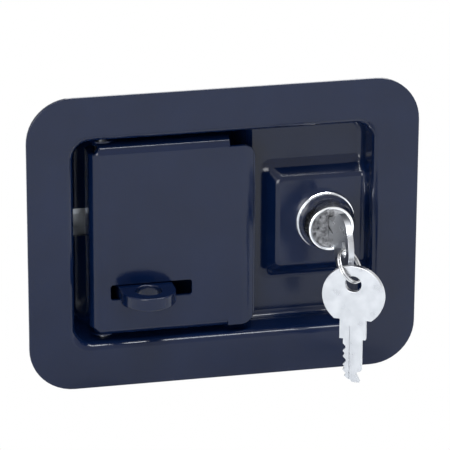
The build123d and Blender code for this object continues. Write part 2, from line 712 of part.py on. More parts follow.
wafer_places = [plug_shoulder_y + WAFER_PITCH * (i + 0.5) for i in range(WAFER_COUNT)]
with BuildPart() as lock_plug:
    with BuildSketch(facing(plug_y)):
        with Locations((LOCK_X, 0)):
            Circle(PLUG_FACE_D / 2)
    extrude(amount=-PLUG_FACE_T)
    with BuildSketch(facing(plug_shoulder_y)):
        with Locations((LOCK_X, 0)):
            Circle(PLUG_CORE_D / 2)
    extrude(amount=plug_shoulder_y - LOCK_BACK_Y)
    with BuildSketch(facing(LOCK_BACK_Y)):
        with Locations((LOCK_X, 0)):
            Rectangle(CAM_SQUARE, CAM_SQUARE)
    extrude(amount=LOCK_BACK_Y - cam_back_y)
    # Keyway, locating notch, wafer slots and the screw's hole.
    with BuildSketch(facing(plug_y)):
        with Locations((LOCK_X, 0)):
            Rectangle(KEY_T + 2 * RUNNING, BLADE_W + 2 * RUNNING)
    extrude(amount=-KEY_LENGTH + NECK_END, mode=Mode.SUBTRACT)
    with BuildSketch(facing(plug_y)):
        with Locations((LOCK_X, PLUG_FACE_D / 2 - NOTCH)):
            Rectangle(NOTCH, NOTCH)
    extrude(amount=-NOTCH / 2, mode=Mode.SUBTRACT)
    for wafer_y in wafer_places:
        with BuildSketch(facing(wafer_y - WAFER_T / 2 - RUNNING)):
            with Locations((LOCK_X, 0)):
                Rectangle(WAFER_W + 2 * RUNNING, PLUG_CORE_D)
        extrude(amount=-WAFER_T - 2 * RUNNING, mode=Mode.SUBTRACT)
    with BuildSketch(facing(cam_back_y)):
        with Locations((LOCK_X, 0)):
            Circle(CAM_SCREW_D / 2 + PRESSED)
    extrude(amount=CAM_SCREW_L + RUNNING, mode=Mode.SUBTRACT)
finish(lock_plug.part, "lock_plug")

with BuildPart() as lock_wafers:
    for wafer_y in wafer_places:
        with BuildSketch(facing(wafer_y - WAFER_T / 2)):
            with Locations((LOCK_X, 0)):
                Rectangle(WAFER_W, WAFER_H)
                Circle(PLUG_CORE_D / 2, mode=Mode.INTERSECT)
                Rectangle(KEY_T + 4 * RUNNING, BLADE_W + 4 * RUNNING, mode=Mode.SUBTRACT)
        extrude(amount=-WAFER_T)
finish(lock_wafers.part, "lock_wafers")

with BuildPart() as lock_washer:
    with BuildSketch(facing(pad_back_y)):
        with Locations((LOCK_X, 0)):
            Circle(WASHER_D / 2)
            Circle(LOCK_BODY_D / 2 + RUNNING, mode=Mode.SUBTRACT)
    extrude(amount=-WASHER_T)
finish(lock_washer.part, "lock_washer")

with BuildPart() as lock_nut:
    with BuildSketch(facing(pad_back_y + WASHER_T)):
        with Locations((LOCK_X, 0)):
            RegularPolygon(NUT_FLATS / 2, 6, major_radius=False)
            Circle(LOCK_BODY_D / 2 + RUNNING, mode=Mode.SUBTRACT)
    extrude(amount=-NUT_T)
finish(lock_nut.part, "lock_nut")

with BuildPart() as lock_cam:
    with BuildSketch(facing(cam_y)):
        with Locations((LOCK_X, 0)):
            Circle(CAM_W / 2)
            Rectangle(CAM_W, CAM_LENGTH - CAM_TIP_R, align=(Align.CENTER, Align.MIN))
            Rectangle(2 * (CAM_W / 2 - CAM_TIP_R), CAM_LENGTH, align=(Align.CENTER, Align.MIN))
        for side in (-1, 1):
            tip_x = LOCK_X + side * (CAM_W / 2 - CAM_TIP_R)
            with Locations((tip_x, CAM_LENGTH - CAM_TIP_R)):
                Circle(CAM_TIP_R)
        with Locations((LOCK_X, 0)):
            Rectangle(CAM_SQUARE + 2 * PRESSED, CAM_SQUARE + 2 * PRESSED, mode=Mode.SUBTRACT)
    extrude(amount=-CAM_T)
finish(lock_cam.part, "lock_cam")

with BuildPart() as cam_washer:
    with BuildSketch(facing(cam_back_y)):
        with Locations((LOCK_X, 0)):
            Circle(CAM_WASHER_D / 2)
            Circle(CAM_SCREW_D / 2 + RUNNING, mode=Mode.SUBTRACT)
    extrude(amount=-WASHER_T)
finish(cam_washer.part, "cam_washer")

with BuildPart() as cam_screw:
    with BuildSketch(facing(cam_back_y + WASHER_T)):
        with Locations((LOCK_X, 0)):
            Circle(CAM_SCREW_HEAD_D / 2)
    extrude(amount=-CAM_SCREW_HEAD_T)
    chamfer(cam_screw.edges().group_by(Axis.Y)[-1], CAM_SCREW_HEAD_T / 2)
    with BuildSketch(facing(cam_back_y + WASHER_T + CAM_SCREW_HEAD_T)):
        with Locations((LOCK_X, 0)):
            Rectangle(CAM_SCREW_HEAD_D / 2, SLOT_W)
            Rectangle(SLOT_W, CAM_SCREW_HEAD_D / 2)
    extrude(amount=CAM_SCREW_HEAD_T / 2, mode=Mode.SUBTRACT)
    with BuildSketch(facing(cam_back_y + WASHER_T)):
        with Locations((LOCK_X, 0)):
            Circle(CAM_SCREW_D / 2)
    extrude(amount=CAM_SCREW_L + WASHER_T)
finish(cam_screw.part, "cam_screw")


# --- Keys and ring ---
def key(plane):
    """A key in the plane, with its hole at the origin and its bow's end up."""
    bow_y = KEY_HOLE_EDGE - BOW_R
    shoulder = KEY_HOLE_EDGE - NECK_END
    tip = KEY_HOLE_EDGE - KEY_LENGTH
    with BuildPart() as blank:
        with BuildSketch(plane):
            with Locations((0, bow_y)):
                Circle(BOW_R)
            with Locations((0, shoulder)):
                Rectangle(NECK_W, bow_y - shoulder, align=(Align.CENTER, Align.MIN))
            with BuildLine():
                Polyline(
                    (-BLADE_W / 2, shoulder),
                    (BLADE_W / 2, shoulder),
                    (BLADE_W / 2, tip + BLADE_W / 2),
                    (BLADE_W / 4, tip),
                    (-BLADE_W / 4, tip + BLADE_W / 6),
                    (-BLADE_W / 2, tip + BLADE_W / 3),
                    close=True,
                )
            make_face()
            for i, depth in enumerate(BITTING):
                cut_y = shoulder - BITTING_START - i * BITTING_PITCH
                with BuildLine():
                    Polyline(
                        (-BLADE_W / 2 + depth, cut_y + BITTING_FLAT / 2),
                        (-BLADE_W / 2, cut_y + BITTING_FLAT / 2 + depth),
                        (-BLADE_W, cut_y + BITTING_FLAT / 2 + depth),
                        (-BLADE_W, cut_y - BITTING_FLAT / 2 - depth),
                        (-BLADE_W / 2, cut_y - BITTING_FLAT / 2 - depth),
                        (-BLADE_W / 2 + depth, cut_y - BITTING_FLAT / 2),
                        close=True,
                    )
                make_face(mode=Mode.SUBTRACT)
        extrude(amount=KEY_T / 2, both=True)
        # The bow stands a little proud of the neck, down to a straight step.
        with BuildSketch(plane):
            with Locations((0, bow_y)):
                Circle(BOW_R)
            with Locations((0, KEY_HOLE_EDGE - BOW_STEP)):
                Rectangle(4 * BOW_R, 2 * BOW_R, align=(Align.CENTER, Align.MIN), mode=Mode.INTERSECT)
        extrude(amount=BOW_T / 2, both=True)
        with BuildSketch(plane):
            Circle(KEY_HOLE_R)
        extrude(amount=BOW_T, both=True, mode=Mode.SUBTRACT)
        for side in (-1, 1):
            with BuildSketch(plane.offset(side * KEY_T / 2)):
                with Locations((side * GROOVE_W / 2, tip)):
                    Rectangle(GROOVE_W, GROOVE_L, align=(Align.CENTER, Align.MIN))
            extrude(amount=-side * GROOVE_DEPTH, mode=Mode.SUBTRACT)
    return blank.part


key_hole = Vector(LOCK_X, key_hole_y, 0)
spare_hole = key_hole + Vector(SPARE_DX, SPARE_DY, SPARE_DZ)
spare_normal = Vector(-sin(radians(SPARE_YAW)), -cos(radians(SPARE_YAW)), 0)
finish(key(Plane(key_hole, x_dir=(0, 0, 1), z_dir=(1, 0, 0))), "key_in_lock")
finish(key(Plane(spare_hole, x_dir=Vector(0, 0, 1).cross(spare_normal), z_dir=spare_normal)), "spare_key")

# The ring's plane holds both holes and is turned so that it passes through both keys.
hang = (spare_hole - key_hole).normalized()
through = Vector(cos(radians(RING_YAW)), sin(radians(RING_YAW)), 0)
across = (through - hang * through.dot(hang)).normalized()
ring_plane = Plane((key_hole + spare_hole) / 2, x_dir=across, z_dir=hang.cross(across))
with BuildPart() as key_ring:
    ring_pitch = RING_WIRE + PRESSED
    ring_r = ((spare_hole - key_hole).length - RING_HANG) / 2
    with BuildLine():
        flat_coil = Edge.make_helix(ring_pitch, RING_TURNS * ring_pitch, ring_r, (0, 0, -ring_pitch))
        add(ring_plane.from_local_coords(flat_coil))
        ring_coil = edges()[0]
    add(wire(coil_points(ring_coil, RING_TURNS), RING_WIRE))
finish(key_ring.part, "key_ring")
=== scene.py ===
import bpy
import bmesh
import math
from mathutils import Matrix, Vector


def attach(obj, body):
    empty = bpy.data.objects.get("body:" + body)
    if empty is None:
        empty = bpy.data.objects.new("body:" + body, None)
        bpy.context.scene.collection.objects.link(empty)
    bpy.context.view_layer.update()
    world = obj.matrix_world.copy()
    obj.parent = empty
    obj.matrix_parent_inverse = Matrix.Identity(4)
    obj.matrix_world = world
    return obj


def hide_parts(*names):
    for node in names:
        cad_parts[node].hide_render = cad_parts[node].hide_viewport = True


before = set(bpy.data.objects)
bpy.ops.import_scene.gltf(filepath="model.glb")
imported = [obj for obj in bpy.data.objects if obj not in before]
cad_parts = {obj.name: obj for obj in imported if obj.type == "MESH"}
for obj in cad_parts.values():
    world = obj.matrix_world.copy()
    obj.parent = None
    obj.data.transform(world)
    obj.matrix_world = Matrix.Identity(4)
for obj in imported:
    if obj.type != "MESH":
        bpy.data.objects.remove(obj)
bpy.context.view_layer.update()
mm = 0.001


# ---- camera, floor and light ----
view = {
    "azimuth": -12.739,  # degrees to the left of straight ahead
    "elevation": 20.483,
    "roll": 0.238,
    "distance": 1.17919,
    "aimRight": 0.000113,
    "aimUp": 0.003493,
    "lens": 269.18,
    "sensor": 36.0,
    "frontY": -1.5,  # the flange's front, which the view was aimed from
}


def addCamera():
    side = math.radians(view["azimuth"])
    rise = math.radians(view["elevation"])
    roll = math.radians(view["roll"])
    back = Vector((math.sin(side) * math.cos(rise), -math.cos(side) * math.cos(rise), math.sin(rise)))
    right = Vector((0, 0, 1)).cross(back).normalized()
    up = back.cross(right)
    turnedRight = math.cos(roll) * right + math.sin(roll) * up
    turnedUp = math.cos(roll) * up - math.sin(roll) * right
    place = turnedRight * view["aimRight"] + turnedUp * view["aimUp"] + back * view["distance"]
    place.y += view["frontY"] * mm
    turn = Matrix((turnedRight, turnedUp, back)).transposed().to_euler()
    bpy.ops.object.camera_add(location=place, rotation=turn)
    camera = bpy.context.object
    camera.data.lens = view["lens"]
    camera.data.sensor_width = view["sensor"]
    camera.data.clip_start = 0.05
    camera.data.clip_end = 20
    bpy.context.scene.camera = camera


lights = {
    "overhead": {"place": (0.15, -0.35, 1.0), "size": (1.4, 0.16), "power": 16.0, "colour": (0.96, 0.98, 1.0)},
    "front": {"place": (-0.8, -1.4, 0.3), "size": (0.7, 0.7), "power": 14.0, "colour": (1.0, 1.0, 1.0)},
    "behind": {"place": (0.5, 1.2, 0.8), "size": (1.0, 1.0), "power": 12.0, "colour": (1.0, 1.0, 1.0)},
}


def addLights():
    for name, lamp in lights.items():
        place = Vector(lamp["place"])
        turn = place.to_track_quat("Z", "Y").to_euler()
        bpy.ops.object.light_add(type="AREA", location=place, rotation=turn)
        light = bpy.context.object
        light.name = name + "Light"
        light.data.shape = "RECTANGLE"
        light.data.size, light.data.size_y = lamp["size"]
        light.data.energy = lamp["power"]
        light.data.color = lamp["colour"]


surroundings = {
    "ambient": 0.45, "ambientColour": (0.9, 0.95, 1.0, 1), "floorZ": -0.0545, "floorColour": (0.93, 0.94, 0.95, 1),
}


def addWorld():
    world = bpy.data.worlds.new("paleSurroundings")
    bpy.context.scene.world = world
    world.use_nodes = True
    nodes, links = world.node_tree.nodes, world.node_tree.links
    nodes.clear()
    rays = nodes.new("ShaderNodeLightPath")
    glossy = nodes.new("ShaderNodeMath")
    glossy.operation = "MAXIMUM"
    shown = nodes.new("ShaderNodeMath")
    shown.operation = "MAXIMUM"
    ambient = nodes.new("ShaderNodeBackground")
    ambient.inputs["Color"].default_value = surroundings["ambientColour"]
    ambient.inputs["Strength"].default_value = surroundings["ambient"]
    pale = nodes.new("ShaderNodeBackground")
    pale.inputs["Color"].default_value = (1, 1, 1, 1)
    mix = nodes.new("ShaderNodeMixShader")
    output = nodes.new("ShaderNodeOutputWorld")
    links.new(rays.outputs["Is Camera Ray"], glossy.inputs[0])
    links.new(rays.outputs["Is Glossy Ray"], glossy.inputs[1])
    links.new(glossy.outputs[0], shown.inputs[0])
    links.new(rays.outputs["Is Transmission Ray"], shown.inputs[1])
    links.new(shown.outputs[0], mix.inputs[0])
    links.new(ambient.outputs[0], mix.inputs[1])
    links.new(pale.outputs[0], mix.inputs[2])
    links.new(mix.outputs[0], output.inputs["Surface"])


def addFloor():
    bpy.ops.mesh.primitive_plane_add(size=8, location=(0, 0, surroundings["floorZ"]))
    floor = bpy.context.object
    floor.name = "floor"
    paint = bpy.data.materials.new("paleFloor")
    paint.use_nodes = True
    nodes, links = paint.node_tree.nodes, paint.node_tree.links
    shader = nodes["Principled BSDF"]
    shader.inputs["Base Color"].default_value = surroundings["floorColour"]
    shader.inputs["Roughness"].default_value = 0.9
    rays = nodes.new("ShaderNodeLightPath")
    white = nodes.new("ShaderNodeEmission")
    mix = nodes.new("ShaderNodeMixShader")
    links.new(rays.outputs["Is Camera Ray"], mix.inputs[0])
    links.new(shader.outputs[0], mix.inputs[1])
    links.new(white.outputs[0], mix.inputs[2])
    links.new(mix.outputs[0], nodes["Material Output"].inputs["Surface"])
    floor.data.materials.append(paint)


addCamera()
addLights()
addWorld()
addFloor()
scene = bpy.context.scene
scene.view_settings.view_transform = "Standard"
print("stage set")


# ---- materials ----
def newGroup(name, inputs, outputs):
    group = bpy.data.node_groups.new(name, "ShaderNodeTree")
    for label, kind, value in inputs:
        socket = group.interface.new_socket(label, in_out="INPUT", socket_type=kind)
        socket.default_value = value
    for label, kind in outputs:
        group.interface.new_socket(label, in_out="OUTPUT", socket_type=kind)
    return group, group.nodes.new("NodeGroupInput"), group.nodes.new("NodeGroupOutput")


def makeClouds():
    # soft patches and a fine speckle, both from 0 to 1
    group, given, result = newGroup(
        "clouds",
        [
            ("Vector", "NodeSocketVector", (0, 0, 0)),
            ("Patch Scale", "NodeSocketFloat", 60.0),
            ("Speckle Scale", "NodeSocketFloat", 2500.0),
        ],
        [("Patches", "NodeSocketFloat"), ("Speckle", "NodeSocketFloat")],
    )
    patches = group.nodes.new("ShaderNodeTexNoise")
    patches.inputs["Detail"].default_value = 4.0
    speckle = group.nodes.new("ShaderNodeTexNoise")
    speckle.inputs["Detail"].default_value = 2.0
    for noise, scale, out in ((patches, "Patch Scale", "Patches"), (speckle, "Speckle Scale", "Speckle")):
        group.links.new(given.outputs["Vector"], noise.inputs["Vector"])
        group.links.new(given.outputs[scale], noise.inputs["Scale"])
        group.links.new(noise.outputs["Fac"], result.inputs[out])
    return group


cloudsGroup = makeClouds()


def ramp(nodes, links, source, low, high, fromValues=(0.3, 0.7)):
    # a float spread between two values
    spread = nodes.new("ShaderNodeMapRange")
    spread.inputs["From Min"].default_value, spread.inputs["From Max"].default_value = fromValues
    spread.inputs["To Min"].default_value = low
    spread.inputs["To Max"].default_value = high
    links.new(source, spread.inputs["Value"])
    return spread.outputs["Result"]


def blendColour(nodes, links, source, first, second):
    mix = nodes.new("ShaderNodeMix")
    mix.data_type = "RGBA"
    mix.inputs["A"].default_value = (*first, 1)
    mix.inputs["B"].default_value = (*second, 1)
    links.new(source, mix.inputs["Factor"])
    return mix.outputs["Result"]


finishes = {
    # this black coat is also put on the bronze pivot bushes as painted shade, so they show dark
    "blackCoatAndShade": {
        "first": (0.001, 0.0045, 0.020), "second": (0.002, 0.0065, 0.026),
        "metal": 0.0, "rough": (0.11, 0.15), "patch": 45, "speckle": 1400, "bump": 0.00002, "specular": 0.28,
    },
    "zincPlate": {
        "first": (0.36, 0.38, 0.41), "second": (0.46, 0.48, 0.51),
        "metal": 1.0, "rough": (0.28, 0.42), "patch": 180, "speckle": 3000, "bump": 0.00001,
    },
    "springSteel": {
        "first": (0.45, 0.45, 0.46), "second": (0.62, 0.62, 0.62),
        "metal": 1.0, "rough": (0.22, 0.35), "patch": 300, "speckle": 4000, "bump": 0.000005,
    },
    "chrome": {
        "first": (0.74, 0.75, 0.77), "second": (0.80, 0.81, 0.83),
        "metal": 1.0, "rough": (0.16, 0.22), "patch": 120, "speckle": 3000, "bump": 0.000002,
    },
    "keyMetal": {
        "first": (0.42, 0.43, 0.45), "second": (0.48, 0.49, 0.51),
        "metal": 1.0, "rough": (0.25, 0.4), "patch": 260, "speckle": 2500, "bump": 0.00001,
    },
    "plugMetal": {
        "first": (0.10, 0.10, 0.105), "second": (0.42, 0.42, 0.43),
        "metal": 1.0, "rough": (0.25, 0.45), "patch": 900, "speckle": 4000, "bump": 0.00001,
    },
    "brass": {
        "first": (0.62, 0.45, 0.18), "second": (0.76, 0.58, 0.27),
        "metal": 1.0, "rough": (0.25, 0.38), "patch": 250, "speckle": 4000, "bump": 0.000005,
    },
}


def makeFinish(name):
    values = finishes[name]
    paint = bpy.data.materials.new(name)
    paint.use_nodes = True
    nodes, links = paint.node_tree.nodes, paint.node_tree.links
    shader = nodes["Principled BSDF"]
    place = nodes.new("ShaderNodeTexCoord")
    clouds = nodes.new("ShaderNodeGroup")
    clouds.node_tree = cloudsGroup
    clouds.inputs["Patch Scale"].default_value = values["patch"]
    clouds.inputs["Speckle Scale"].default_value = values["speckle"]
    links.new(place.outputs["Object"], clouds.inputs["Vector"])
    mask = ramp(nodes, links, clouds.outputs["Patches"], 0, 1)
    links.new(blendColour(nodes, links, mask, values["first"], values["second"]), shader.inputs["Base Color"])
    links.new(ramp(nodes, links, clouds.outputs["Patches"], *values["rough"]), shader.inputs["Roughness"])
    bump = nodes.new("ShaderNodeBump")
    bump.inputs["Distance"].default_value = values["bump"]
    bump.inputs["Strength"].default_value = 1.0
    links.new(clouds.outputs["Speckle"], bump.inputs["Height"])
    links.new(bump.outputs["Normal"], shader.inputs["Normal"])
    shader.inputs["Metallic"].default_value = values["metal"]
    shader.inputs["Specular IOR Level"].default_value = values.get("specular", 0.5)
    return paint


materials = {name: makeFinish(name) for name in finishes}


# ---- modelling helpers ----
def clearSelection():
    if bpy.context.object and bpy.context.object.mode != "OBJECT":
        bpy.ops.object.mode_set(mode="OBJECT")
    bpy.ops.object.select_all(action="DESELECT")


def makeActive(piece):
    clearSelection()
    piece.select_set(True)
    bpy.context.view_layer.objects.active = piece


def named(name):
    piece = bpy.context.object
    piece.name = name
    piece.data.name = name
    return piece


def fixPlace(piece):
    makeActive(piece)
    bpy.ops.object.transform_apply(location=True, rotation=True, scale=True)
    return piece


def edit(piece):
    makeActive(piece)
    bpy.ops.object.mode_set(mode="EDIT")


def leaveEdit():
    bpy.ops.object.mode_set(mode="OBJECT")


def pick(kind, test):
    # selects what passes the test, in edit mode; the test reads a BMVert, BMEdge or BMFace
    bpy.ops.mesh.select_mode(type=kind)
    bpy.ops.mesh.select_all(action="DESELECT")
    mesh = bmesh.from_edit_mesh(bpy.context.edit_object.data)
    mesh.normal_update()
    found = {"VERT": mesh.verts, "EDGE": mesh.edges, "FACE": mesh.faces}[kind]
    for item in [item for item in found if test(item)]:
        item.select_set(True)
    mesh.select_flush_mode()
    bmesh.update_edit_mesh(bpy.context.edit_object.data)


def middle(edge):
    return (edge.verts[0].co + edge.verts[1].co) / 2


def lies(edge, axis, at, slack=0.02 * mm):
    return all(abs(vert.co[axis] - at) < slack for vert in edge.verts)


def roundEdges(piece, width, steps, test):
    edit(piece)
    pick("EDGE", test)
    bpy.ops.mesh.bevel(
        offset=width, offset_type="OFFSET", segments=steps, profile=0.5, affect="EDGES", clamp_overlap=False
    )
    leaveEdit()


def sharpTest(angle):
    # a manifold edge that turns by more than the angle
    limit = math.radians(angle)
    return lambda edge: edge.is_manifold and edge.calc_face_angle(0) > limit


def carve(piece, tool, operation="DIFFERENCE"):
    makeActive(piece)
    cut = piece.modifiers.new("carve", "BOOLEAN")
    cut.object = tool
    cut.operation = operation
    cut.solver = "EXACT"
    bpy.ops.object.modifier_apply(modifier="carve")
    bpy.data.objects.remove(tool, do_unlink=True)
    return piece


def block(name, low, high):
    clearSelection()
    low, high = Vector(low) * mm, Vector(high) * mm
    bpy.ops.mesh.primitive_cube_add(size=1, location=(low + high) / 2)
    piece = named(name)
    piece.scale = high - low
    return fixPlace(piece)


def rod(name, place, radius, length, axis="Z", sides=64):
    # place is the middle of the rod
    clearSelection()
    turn = {"Z": (0, 0, 0), "Y": (math.pi / 2, 0, 0), "X": (0, math.pi / 2, 0)}[axis]
    bpy.ops.mesh.primitive_cylinder_add(
        vertices=sides, radius=radius * mm, depth=length * mm, location=Vector(place) * mm, rotation=turn
    )
    return fixPlace(named(name))


def roundedPlane(name, width, height, radius, place, steps=10):
    # a flat face towards the front, with round corners
    clearSelection()
    bpy.ops.mesh.primitive_plane_add(size=1, location=Vector(place) * mm, rotation=(math.pi / 2, 0, 0))
    piece = named(name)
    piece.scale = (width * mm, height * mm, 1)
    fixPlace(piece)
    edit(piece)
    bpy.ops.mesh.select_all(action="SELECT")
    bpy.ops.mesh.bevel(offset=radius * mm, affect="VERTICES", segments=steps, profile=0.5, clamp_overlap=False)
    leaveEdit()
    return piece


def pushIn(piece, depth, draft=0.0):
    # the flat face becomes a block that goes back by depth and narrows by its draft
    edit(piece)
    bpy.ops.mesh.select_mode(type="FACE")
    bpy.ops.mesh.select_all(action="SELECT")
    bpy.ops.mesh.extrude_region_move(TRANSFORM_OT_translate={"value": (0, depth * mm, 0)})
    if draft:
        low, high = pickedBox(bpy.context.edit_object)
        shrink = 2 * depth * mm * math.tan(math.radians(draft))
        size = high - low
        bpy.ops.transform.resize(
            value=((size.x - shrink) / size.x, 1, (size.z - shrink) / size.z), center_override=(low + high) / 2
        )
    bpy.ops.mesh.select_all(action="SELECT")
    bpy.ops.mesh.normals_make_consistent(inside=False)
    leaveEdit()
    return piece


def pickedBox(piece):
    spots = [vert.co.copy() for vert in bmesh.from_edit_mesh(piece.data).verts if vert.select]
    low = Vector([min(spot[axis] for spot in spots) for axis in range(3)])
    high = Vector([max(spot[axis] for spot in spots) for axis in range(3)])
    return low, high


def thicken(piece, wall, offset=-1.0):
    makeActive(piece)
    shell = piece.modifiers.new("wall", "SOLIDIFY")
    shell.thickness = wall * mm
    shell.offset = offset
    shell.use_even_offset = True
    shell.use_quality_normals = True
    bpy.ops.object.modifier_apply(modifier="wall")


def smooth(piece, angle=35):
    makeActive(piece)
    bpy.ops.object.shade_smooth_by_angle(angle=math.radians(angle))
    weigh = piece.modifiers.new("flats", "WEIGHTED_NORMAL")
    weigh.keep_sharp = True
    weigh.weight = 90
    bpy.ops.object.modifier_apply(modifier="flats")


def tidyMesh(piece, merge=0.002):
    edit(piece)
    bpy.ops.mesh.select_all(action="SELECT")
    bpy.ops.mesh.remove_doubles(threshold=merge * mm)
    bpy.ops.mesh.dissolve_degenerate(threshold=merge * mm)
    bpy.ops.mesh.select_all(action="SELECT")
    bpy.ops.mesh.normals_make_consistent(inside=False)
    leaveEdit()


def report(piece):
    # counts open edges, which a closed shell has none of
    mesh = bmesh.new()
    mesh.from_mesh(piece.data)
    openEdges = sum(1 for edge in mesh.edges if not edge.is_manifold)
    volume = mesh.calc_volume() / mm**3
    faces = sum(len(face.verts) - 2 for face in mesh.faces)
    mesh.free()
    print(f"{piece.name}: {faces} triangles, {openEdges} open edges, {volume:.0f} cubic mm")


def finishPiece(piece, body, finish, *nodes, angle=35):
    smooth(piece, angle)
    piece.data.materials.clear()
    piece.data.materials.append(materials[finish])
    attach(piece, body)
    if nodes:
        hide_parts(*nodes)
    report(piece)
    return piece


# ---- pan: a pressed tray in a flange ----
panSize = {
    "flange": (139.7, 107.95), "flangeRound": 16.0, "sheet": 1.5, "front": -1.5,
    "mouth": (107.2, 75.45), "mouthRound": 6.5, "mouthBend": 3.0, "draft": 5.0,
    "floor": 18.5, "shelf": 11.0, "stepX": 11.5, "stepSlope": 35.0, "stepBend": 3.0,
    "pad": 6.5, "padLeft": 20.8, "padHeight": 32.6, "padBend": 2.5, "fillet": 2.2, "edge": 0.35,
}


def makePan():
    size = panSize
    front = size["front"]
    hollow = roundedPlane("trayShell", *size["mouth"], size["mouthRound"], (0, front, 0), 12)
    pushIn(hollow, size["floor"] - front, size["draft"])
    # the shelf on the right, with its slope down to the floor
    shelf = block("shelf", (size["stepX"], size["shelf"], -60), (80, 30, 60))
    run = (30 - size["shelf"]) * math.tan(math.radians(size["stepSlope"])) * mm
    edit(shelf)
    pick("VERT", lambda vert: vert.co.x < 20 * mm and vert.co.y > 20 * mm)
    bpy.ops.transform.translate(value=(-run, 0, 0))
    leaveEdit()
    bend = size["stepBend"] * mm * math.tan(math.radians((90 - size["stepSlope"]) / 2))
    roundEdges(shelf, bend, 6, lambda edge: lies(edge, 0, size["stepX"] * mm) and lies(edge, 1, size["shelf"] * mm))
    # the pad round the lock
    drop = 6.0
    padHalf = size["padHeight"] / 2
    pad = block("pad", (size["padLeft"], size["pad"], -padHalf), (80, size["pad"] + drop, padHalf))
    edit(pad)
    pick("VERT", lambda vert: vert.co.y > (size["pad"] + 1) * mm)
    spread = (size["padHeight"] + 2 * drop) / size["padHeight"]
    bpy.ops.transform.resize(value=(1, 1, spread), center_override=(0, 0, 0))
    pick("VERT", lambda vert: vert.co.y > (size["pad"] + 1) * mm and vert.co.x < 40 * mm)
    bpy.ops.transform.translate(value=(-drop * mm, 0, 0))
    leaveEdit()
    goesBack = lambda edge: abs(edge.verts[0].co.y - edge.verts[1].co.y) > mm
    hips = lambda edge: middle(edge).x < (size["padLeft"] - 1) * mm and goesBack(edge)
    top = lambda edge: lies(edge, 1, size["pad"] * mm) and middle(edge).x < 75 * mm
    roundEdges(pad, size["padBend"] * mm, 6, hips)
    roundEdges(pad, size["padBend"] * mm * 0.45, 6, top)
    carve(shelf, pad, "UNION")
    carve(hollow, shelf)
    tidyMesh(hollow)
    sharp = sharpTest(25)
    inside = lambda edge: sharp(edge) and middle(edge).y > (front + 1) * mm
    roundEdges(hollow, size["fillet"] * mm, 6, inside)
    tidyMesh(hollow)
    # the flange goes round the open mouth
    edit(hollow)
    pick("FACE", lambda face: all(abs(vert.co.y - front * mm) < 0.01 * mm for vert in face.verts))
    bpy.ops.mesh.delete(type="FACE")
    leaveEdit()
    flange = roundedPlane("flange", *size["flange"], size["flangeRound"], (0, front, 0), 12)
    makeActive(hollow)
    flange.select_set(True)
    bpy.ops.object.join()
    edit(hollow)
    pick("FACE", lambda face: all(abs(vert.co.y - front * mm) < 0.01 * mm for vert in face.verts))
    bpy.ops.mesh.delete(type="ONLY_FACE")
    pick("EDGE", lambda edge: lies(edge, 1, front * mm) and len(edge.link_faces) < 2)
    bpy.ops.mesh.bridge_edge_loops()
    bpy.ops.mesh.select_all(action="SELECT")
    bpy.ops.mesh.normals_make_consistent(inside=True)
    leaveEdit()
    bend = size["mouthBend"] * mm * math.tan(math.radians((90 - size["draft"]) / 2))
    nearMouth = lambda edge: abs(middle(edge).x) < 60 * mm and abs(middle(edge).z) < 44 * mm
    turns = lambda edge: edge.is_manifold and edge.calc_face_angle(0) > 0.5
    roundEdges(hollow, bend, 8, lambda edge: lies(edge, 1, front * mm) and nearMouth(edge) and turns(edge))
    thicken(hollow, size["sheet"], offset=1.0)
    tidyMesh(hollow)
    # slots, pivot holes and the lock's hole
    holes = panHoles
    left, right, low, high = holes["leverSlot"]
    carve(hollow, block("leverSlot", (left, size["floor"] - 3, low), (right, size["floor"] + 3, high)))
    width, height = holes["eyeTenon"]
    x, z = holes["eyePlace"]
    lowCorner = (x - width / 2, size["floor"] - 1, z - height / 2)
    carve(hollow, block("eyeTenon", lowCorner, (x + width / 2, size["floor"] + 3, z + height / 2)))
    x, y = holes["pivotPlace"]
    carve(hollow, rod("pivotHole", (x, y, 0), holes["pivotRound"], 110))
    opening = rod("lockHole", (holes["lockX"], 8, 0), holes["lockRound"], 12, "Y", 96)
    flatLeft, flatRight = holes["lockX"] - holes["lockFlats"], holes["lockX"] + holes["lockFlats"]
    carve(opening, block("lockFlats", (flatLeft, 0, -20), (flatRight, 20, 20)), "INTERSECT")
    carve(hollow, opening)
    rim = lambda edge: sharpTest(60)(edge) and abs(middle(edge).y - (front + size["sheet"] / 2) * mm) < 0.8 * mm
    outside = lambda edge: abs(middle(edge).x) > 62 * mm or abs(middle(edge).z) > 46 * mm
    roundEdges(hollow, size["edge"] * mm, 3, lambda edge: rim(edge) and outside(edge))
    return finishPiece(hollow, "pan_body", "blackCoatAndShade", "pan")


panHoles = {
    "leverSlot": (-51.0, -29.3, -4.0, 6.4), "eyeTenon": (12.04, 4.74), "eyePlace": (-28.1, -19.0),
    "pivotPlace": (-42.0, 7.0), "pivotRound": 2.48, "lockX": 38.2, "lockRound": 9.6, "lockFlats": 8.1,
}
makePan()


# ---- paddle: folded sheet with a curled lip and its eye slot ----
paddleSize = {
    "face": -0.5, "sheet": 1.5, "left": -47.5, "right": 2.0, "height": 71.2, "fold": 10.5, "bend": 3.8, "notch": 3.4,
    "lipEnd": 11.5, "lipHeight": 67.0, "lipZ": -1.2, "lipRound": 5.0, "lipCurved": 6.0, "lipCurl": 1.4,
    "slot": (-40.5, -11.5), "slotZ": -19.0, "slotHeight": 5.6, "slotRound": 1.0,
    "pivot": (-42.0, 7.0), "pivotRound": 3.4, "edge": 0.22,
}


